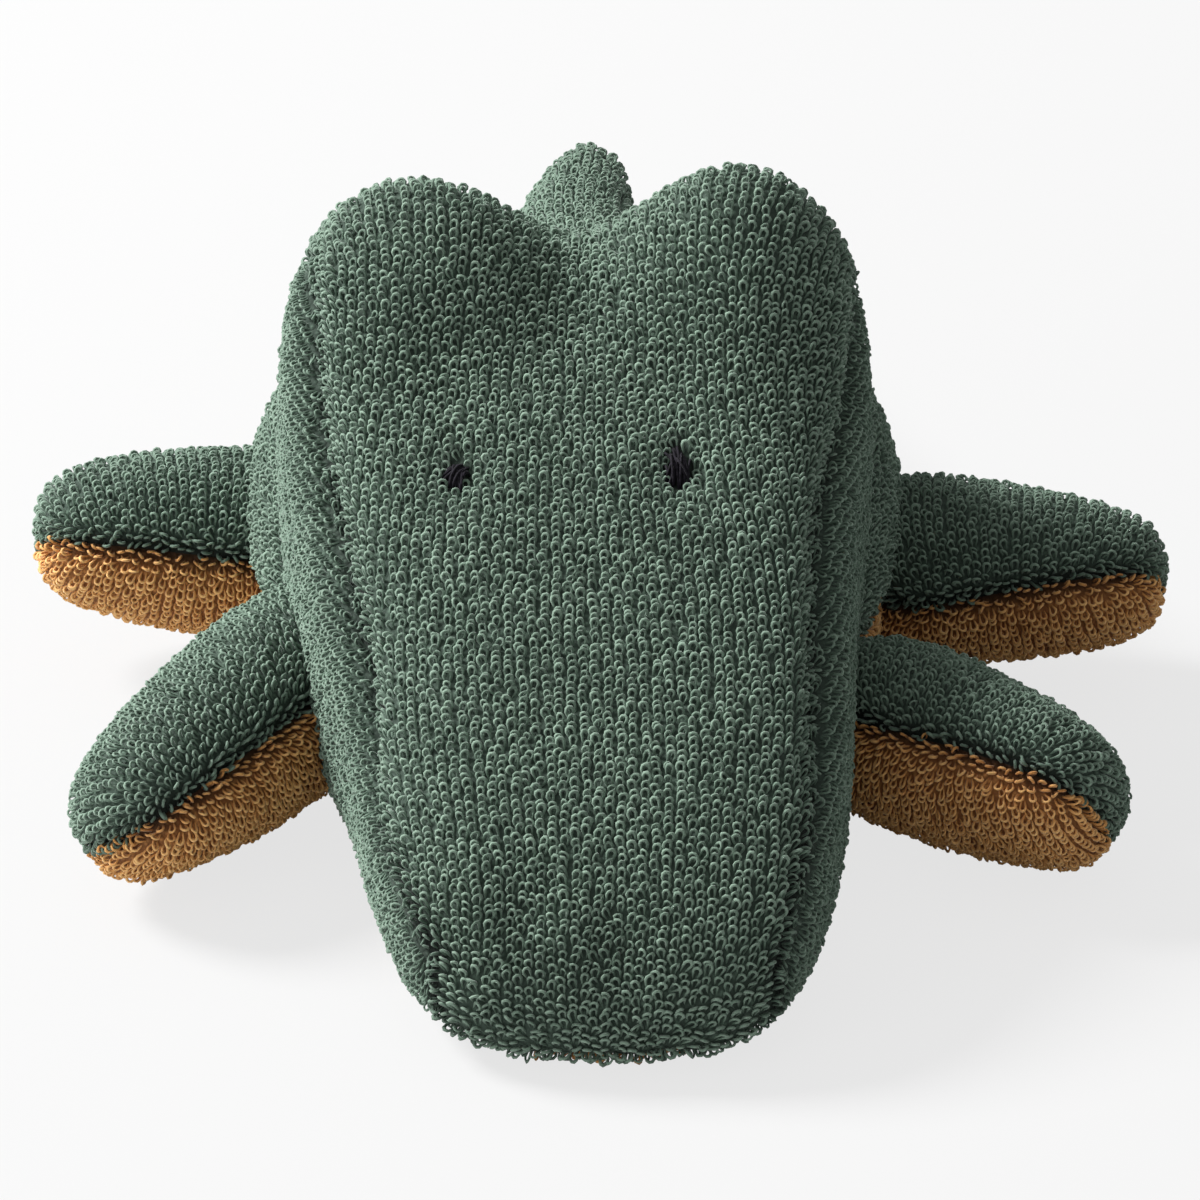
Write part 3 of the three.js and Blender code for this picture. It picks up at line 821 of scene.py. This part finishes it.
def stitch(panel, flat, settings, neighbours, seams, bare, dice):
    # Where every loop stands, which way it leans, and how tall it is
    mesh = panel.data
    triangles = mesh.loop_triangles
    paperPoints = [Vector((u, v, 0)) for u, v in flat]
    pattern = BVHTree.FromPolygons(paperPoints, [tuple(tri.loops) for tri in triangles], all_triangles=True)
    low, high = flat.min(axis=0), flat.max(axis=0)
    wale, course = terry["wale"] * settings["fineness"], terry["course"] * settings["fineness"]
    manner = "combed" if settings["comb"] else "other"
    places, turns, sizes, shades = [], [], [], []
    for column in range(math.floor(low[0] / wale), math.ceil(high[0] / wale) + 1):
        # every other column stands half a stitch further on
        phase = dice.uniform(-terry["phase"], terry["phase"]) + 0.5 * (column % 2)
        for row in range(math.floor(low[1] / course) - 1, math.ceil(high[1] / course) + 1):
            u = (column + dice.gauss(0, terry["strayAcross"])) * wale
            v = (row + phase + dice.gauss(0, terry["strayAlong"])) * course
            hit = pattern.ray_cast(Vector((u, v, 1)), Vector((0, 0, -1)))
            if hit[0] is None:
                continue
            tri = triangles[hit[2]]
            paper = [paperPoints[i] for i in tri.loops]
            cloth = [mesh.vertices[i].co for i in tri.vertices]
            here = geometry.barycentric_transform(Vector((u, v, 0)), *paper, *cloth)
            if inSpots(here, bare, terry["bareMargin"]) or hiddenIn(here, neighbours):
                continue
            seamPoint, _, fromSeam = seams.find(here)
            if fromSeam < terry["seamGap"]:
                continue
            along = geometry.barycentric_transform(Vector((u, v + 1, 0)), *paper, *cloth) - here
            if settings["comb"]:
                fringe = math.exp(-((fromSeam / terry["fringe"]) ** 2))
                along = settings["comb"].lerp((seamPoint - here).normalized(), fringe)
            normals = [mesh.vertices[i].normal for i in tri.vertices]
            out = geometry.barycentric_transform(Vector((u, v, 0)), *paper, *normals).normalized()
            along = (along - out * along.dot(out)).normalized()
            across = along.cross(out)
            border = math.exp(-((fromSeam / terry["seamReach"]) ** 2))
            basis = Matrix((across, along, out)).transposed()
            lean = (terry["lean"] + dice.gauss(0, terry["leans"])) * (1 - terry["upright"][manner] * border)
            lean = math.radians(lean)
            tilt = math.radians(dice.gauss(0, terry["tilts"][0] + terry["tilts"][1] * border))
            twist = math.radians(dice.gauss(0, terry["twists"][0] + terry["twists"][1] * border))
            turn = basis @ Euler((-lean, tilt, twist)).to_matrix()
            places.append(here)
            turns.append(turn.to_euler())
            size = dice.uniform(*terry["sizes"]) * settings["fineness"]
            height = dice.uniform(*terry["heights"]) * (1 + terry["seamHeight"] * border)
            sizes.append((size, size, size * height))
            patch = terry["patches"] * noise.noise(here * terry["patchSize"])
            # combed side panels start darker, a painted shade that tones down how bright the lit sides come
            # out
            shade = terry["toneAndSideShade"][manner] + terry["shades"] * dice.random()
            # loops beside a seam are painted darker, a painted shade in the seam's groove
            shades.append(shade + patch - terry["paintedSeamShade"] * border)
    stitches = bpy.data.meshes.new(panel.name + "Stitches")
    stitches.from_pydata(places, [], [])
    for attribute, kind, values in (
        ("turn", "FLOAT_VECTOR", turns), ("size", "FLOAT_VECTOR", sizes), ("shade", "FLOAT", shades),
        ("kind", "INT", [dice.randrange(terry["kinds"]) for _ in places]),
    ):
        field = "vector" if kind == "FLOAT_VECTOR" else "value"
        stitches.attributes.new(attribute, kind, "POINT").data.foreach_set(field, np.array(values).ravel())
    return stitches


def paintedSeamShadowAt(place, seams, bare):
    # How dark the ground is painted by a seam or a sewn eye: painted shadow in the seam's groove and the
    # eyes' hollows
    if inSpots(place, bare, terry["shadedMargin"]):
        return 1
    return math.exp(-((seams.find(place)[2] / terry["seamShadow"]) ** 2))


def knitPanel(form, index, name, settings, neighbours, seams, bare=()):
    panel = cutPanel(form, index, name)
    panel.data.materials.append(settings["ground"])
    # drawnIn carries the painted shadow of the ground beside seams and round the eyes
    drawn = [paintedSeamShadowAt(vert.co, seams, bare) for vert in panel.data.vertices]
    panel.data.attributes.new("drawnIn", "FLOAT", "POINT").data.foreach_set("value", drawn)
    flat = unwrapFlat(panel, settings["grain"])
    dice = Random(name)
    pile = bpy.data.objects.new(name + "Pile", stitch(panel, flat, settings, neighbours, seams, bare, dice))
    scene.collection.objects.link(pile)
    modifier = pile.modifiers.new("pile", "NODES")
    modifier.node_group = settings["pile"]
    applyModifiers(pile)
    heights = np.zeros(len(pile.data.vertices) * 3)
    pile.data.vertices.foreach_get("co", heights)
    heights[2::3] = np.maximum(heights[2::3], terry["lowest"])
    pile.data.vertices.foreach_set("co", heights)
    bpy.ops.object.select_all(action="DESELECT")
    pile.select_set(True)
    panel.select_set(True)
    bpy.context.view_layer.objects.active = panel
    bpy.ops.object.join()
    print(name, "knitted,", len(panel.data.polygons), "faces")
    return panel


greenPile = pileNodes(loopSet("greenLoops", greenYarn))
ochrePile = pileNodes(loopSet("ochreLoops", ochreYarn))
print("yarn loops made")


cloths = {
    "green": {"ground": greenGround, "pile": greenPile, "slot": "green_terry"},
    "ochre": {"ground": ochreGround, "pile": ochrePile, "slot": "ochre_terry"},
}


def panelPlan(name, nodes, cloth, fineness, grain=(0, 1, 0), comb=None):
    # grain is the way its columns of loops run, comb the way its loops are combed
    finish = {**cloth, "fineness": fineness, "grain": grain, "comb": comb}
    return {"name": name, "nodes": nodes, "finish": finish}


def treeOf(form):
    corners = [vert.co for vert in form.data.vertices]
    return BVHTree.FromPolygons(corners, [face.vertices for face in form.data.polygons])


def knitForm(form, panels, neighbours, bare=()):
    # neighbours are forms, each with the depth inside it at which loops are left out
    seams = seamTree(form)
    trees = [(treeOf(other), depth) for other, depth in neighbours]
    made = []
    for index, plan in enumerate(panels):
        panel = knitPanel(form, index, plan["name"], plan["finish"], trees, seams, bare)
        made.append((panel, plan["nodes"]))
    return made


# Floor and light

floorLook = {"colour": (0.55, 0.55, 0.55, 1), "whiteness": 0.75, "size": 4}


def floorMaterial():
    material = bpy.data.materials.new("paleFloor")
    material.use_nodes = True
    tree = material.node_tree
    tree.nodes.remove(tree.nodes["Principled BSDF"])
    matt = tree.nodes.new("ShaderNodeBsdfDiffuse")
    matt.inputs["Color"].default_value = floorLook["colour"]
    white = tree.nodes.new("ShaderNodeEmission")
    path = tree.nodes.new("ShaderNodeLightPath")
    mix = tree.nodes.new("ShaderNodeMixShader")
    share = tree.nodes.new("ShaderNodeMath")
    share.operation = "MULTIPLY"
    share.inputs[1].default_value = floorLook["whiteness"]
    tree.links.new(path.outputs["Is Camera Ray"], share.inputs[0])
    tree.links.new(share.outputs[0], mix.inputs["Fac"])
    tree.links.new(matt.outputs[0], mix.inputs[1])
    tree.links.new(white.outputs[0], mix.inputs[2])
    tree.links.new(mix.outputs[0], tree.nodes["Material Output"].inputs["Surface"])
    return material


def addFloor():
    bm = bmesh.new()
    bmesh.ops.create_grid(bm, x_segments=1, y_segments=1, size=floorLook["size"])
    mesh = bpy.data.meshes.new("floor")
    bm.to_mesh(mesh)
    bm.free()
    mesh.materials.append(floorMaterial())
    floor = bpy.data.objects.new("floor", mesh)
    scene.collection.objects.link(floor)


worldLight = {"left": 0.42, "right": 0.27}


def addWorld():
    # Soft light all round, weaker from the right, and plain white behind the toy
    world = bpy.data.worlds.new("studio")
    scene.world = world
    world.use_nodes = True
    tree = world.node_tree
    soft = tree.nodes["Background"]
    direction = tree.nodes.new("ShaderNodeTexCoord")
    parts = tree.nodes.new("ShaderNodeSeparateXYZ")
    fall = tree.nodes.new("ShaderNodeMapRange")
    fall.inputs["From Min"].default_value = -1
    fall.inputs["To Min"].default_value = worldLight["left"]
    fall.inputs["To Max"].default_value = worldLight["right"]
    tree.links.new(direction.outputs["Generated"], parts.inputs[0])
    tree.links.new(parts.outputs["X"], fall.inputs["Value"])
    tree.links.new(fall.outputs[0], soft.inputs["Strength"])
    white = tree.nodes.new("ShaderNodeBackground")
    white.inputs["Color"].default_value = (1, 1, 1, 1)
    soft.inputs["Color"].default_value = (1, 1, 1, 1)
    path = tree.nodes.new("ShaderNodeLightPath")
    mix = tree.nodes.new("ShaderNodeMixShader")
    tree.links.new(path.outputs["Is Camera Ray"], mix.inputs["Fac"])
    tree.links.new(soft.outputs[0], mix.inputs[1])
    tree.links.new(white.outputs[0], mix.inputs[2])
    tree.links.new(mix.outputs[0], tree.nodes["World Output"].inputs["Surface"])


def addLight(name, place, target, size, power):
    data = bpy.data.lights.new(name, "AREA")
    data.shape = "DISK"
    data.size = size
    data.energy = power
    light = bpy.data.objects.new(name, data)
    light.location = place
    light.rotation_euler = (Vector(target) - Vector(place)).to_track_quat("-Z", "Y").to_euler()
    scene.collection.objects.link(light)


lights = {
    "keyLight": {"place": (-0.96, 0.36, 0.9), "target": (0, 0, 0.03), "size": 0.5, "power": 31},
    "lowLight": {"place": (-0.9, -0.8, 0.22), "target": (-0.04, -0.05, 0.01), "size": 0.5, "power": 3},
}
addFloor()
addWorld()
for name, settings in lights.items():
    addLight(name, **settings)
scene.view_settings.view_transform = "Standard"


# Pieces, each knitted and put in place; the trunk's pieces and the eyes are given to their bodies

def placePiece(piece, *nodes):
    piece.data.transform(Matrix.Scale(mm, 4) @ Matrix.Translation((0, noseY, 0)))
    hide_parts(*nodes)


def metres(place):
    return tuple((Vector(place) + Vector((0, noseY, 0))) * mm)


def sewAcross(made, first, second, start, end):
    # Puts stuffed pieces in place; places are millimetres from the nose
    for piece, nodes in made:
        placePiece(piece, *nodes)
        metres(start)
        metres(end)
        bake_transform(piece)


# Start and end given for each joint's bend: millimetres from the nose, and at the hip along the leg
bends = {
    "neck": {"start": (0, 120, 18), "end": (0, 92, 18)},
    "rump": {"start": (0, 140, 0), "end": (0, 170, 0)},
    "hip": {"start": -4, "end": 12},
}
# A loop is left out where it stands deeper than this inside a neighbouring form
depths = {"head": 8, "other": 3}
green, ochre = cloths["green"], cloths["ochre"]

headPanels = [
    panelPlan("headSideRight", ["head_side_right"], green, fineness=0.86, comb=Vector((0.5, 0.5, -1))),
    panelPlan("headTop", ["head_top_panel", "head_stuffing"], green, fineness=1),
    panelPlan("headSideLeft", ["head_side_left"], green, fineness=0.86, comb=Vector((-0.5, 0.5, -1))),
    panelPlan("jaw", ["jaw_panel"], ochre, fineness=1.2),
]
# Bare spots as place, half width and half length: one gap above the right eye, and those under the eyes. The
# ground in and round them is painted dark, a painted shadow in the hollows.
eyeHole = {"shift": 0.5, "narrower": 0.3, "longer": 0.2}
eyeHoles = [(10.5, 68.5, 0.5, 0.3)]
for eye in eyes.values():
    half = (eye["width"] / 2 - eyeHole["narrower"], eye["length"] / 2 + eyeHole["longer"])
    eyeHoles.append((eye["x"], eye["place"] - eyeHole["shift"], *half))
headMade = knitForm(headForm, headPanels, [(bodyForm, depths["other"])], eyeHoles)
sewAcross(headMade, "torso", "head", **bends["neck"])

trunk = [
    panelPlan("back", ["back_panel", "body_stuffing"], green, fineness=1),
    panelPlan("belly", ["belly_panel"], ochre, fineness=1.2),
]
bodyNeighbours = [(headForm, depths["head"])]
bodyNeighbours += [(form, depths["other"]) for form in (tailForm, *legForms.values())]
for piece, nodes in knitForm(bodyForm, trunk, bodyNeighbours):
    placePiece(piece, *nodes)
    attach(piece, "torso")

tailPanels = [
    panelPlan("tailUpper", ["tail_upper_panel", "tail_stuffing"], green, fineness=1),
    panelPlan("tailUnder", ["tail_under_panel"], ochre, fineness=1.15),
]
sewAcross(knitForm(tailForm, tailPanels, [(bodyForm, depths["other"])]), "torso", "tail", **bends["rump"])

for name, form in legForms.items():
    leg = legs[name]
    turn = math.radians(leg["forward"]) * leg["side"]
    across = Vector((math.sin(turn), math.cos(turn), 0))
    along = Vector((leg["side"] * math.cos(turn), -abs(math.sin(turn)), 0))
    legPanels = [
        panelPlan(name + "Upper", [name + "_upper", name + "_stuffing"], green, fineness=0.95, grain=across),
        panelPlan(name + "Sole", [name + "_sole"], ochre, fineness=0.95, grain=across),
    ]
    made = knitForm(form, legPanels, [(bodyForm, depths["other"]), (headForm, depths["other"])])
    start, end = (Vector(leg["hip"]) + bends["hip"][side] * along for side in ("start", "end"))
    sewAcross(made, "torso", name, start, end)

headSurface, eyeThread = treeOf(headForm), threadMaterial()
for node, eye in eyes.items():
    stitches = makeEye(node.replace("_l", "L").replace("_r", "R"), eye, headSurface, eyeThread)
    placePiece(stitches, node)
    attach(stitches, "head")
print("eyes sewn")
for form in (headForm, bodyForm, tailForm, *legForms.values()):
    bpy.data.objects.remove(form)
